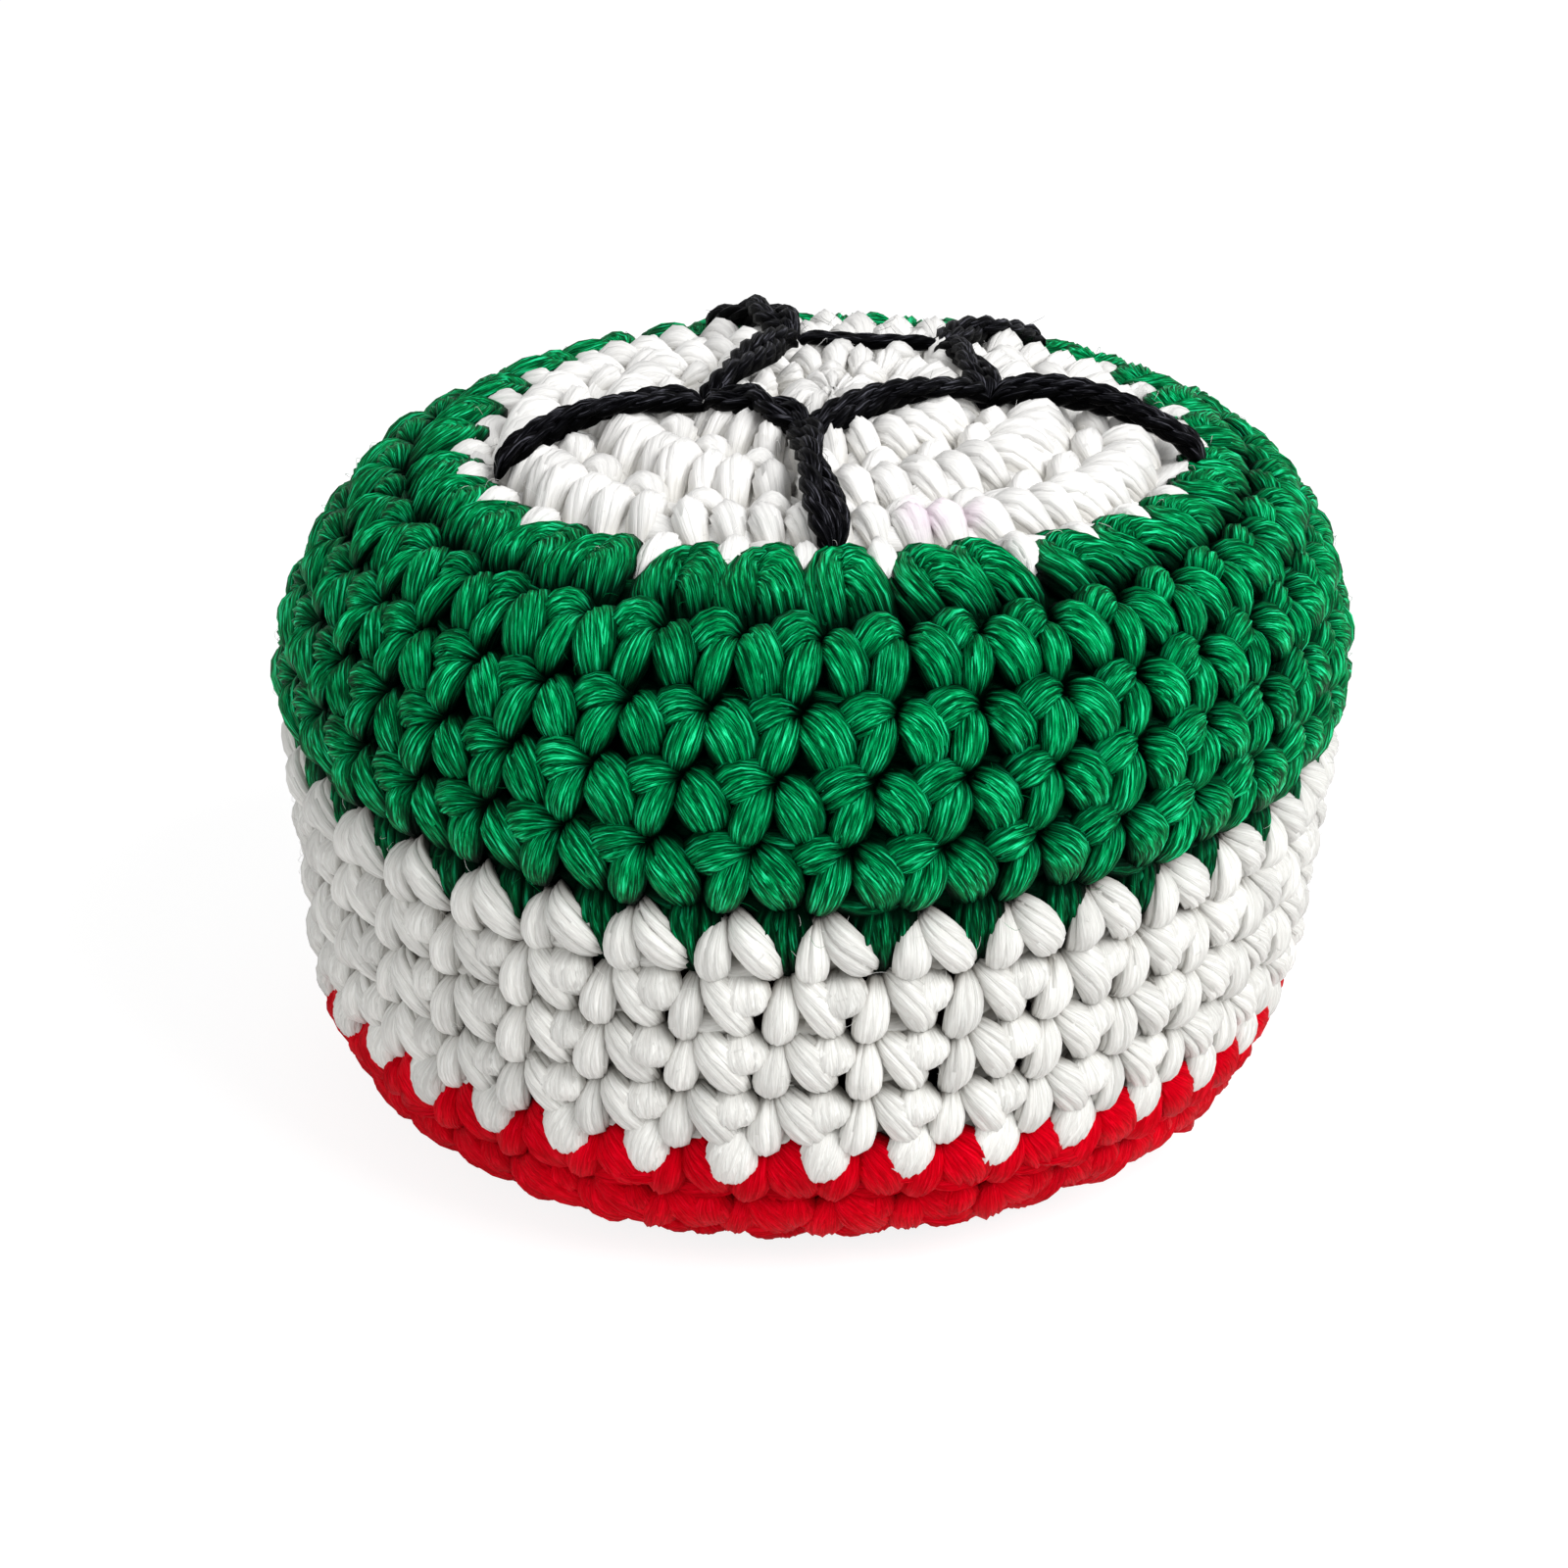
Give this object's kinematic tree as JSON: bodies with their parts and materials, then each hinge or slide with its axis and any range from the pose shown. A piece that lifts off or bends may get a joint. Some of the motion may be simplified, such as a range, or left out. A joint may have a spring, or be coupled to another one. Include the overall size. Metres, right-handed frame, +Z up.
{
  "type": "footbag",
  "caption": "Soft round crocheted footbag with a green, white and red shell, a black pentagon motif on its crown, and an inner pouch of pellets.",
  "frame": {"origin": "centre of the underside, on the surface that the bag rests on", "axes": "+Z up along the axis that the crochet rounds run about; -Y is the front, towards the camera"},
  "size_m": [0.0598, 0.0598, 0.0441],
  "materials": {
    "white_yarn": "mercerised white cotton yarn, crocheted",
    "green_yarn": "mercerised green cotton yarn, crocheted",
    "red_yarn": "mercerised red cotton yarn, crocheted",
    "black_yarn": "doubled black cotton yarn, sewn on",
    "liner_cloth": "thin dark woven lining",
    "liner_thread": "sewing thread",
    "pellets": "loose plastic pellets"
  },
  "bodies": {
    "root": {"crown_white": "white_yarn", "band_green": "green_yarn", "band_white": "white_yarn", "base_red": "red_yarn", "pentagon_side_1": "black_yarn", "pentagon_side_2": "black_yarn", "pentagon_side_3": "black_yarn", "pentagon_side_4": "black_yarn", "pentagon_side_5": "black_yarn", "ray_1": "black_yarn", "ray_2": "black_yarn", "ray_3": "black_yarn", "ray_4": "black_yarn", "ray_5": "black_yarn", "liner_upper": "liner_cloth", "liner_lower": "liner_cloth", "liner_seam_thread": "liner_thread", "pellet_fill": "pellets"}
  },
  "joints": []
}
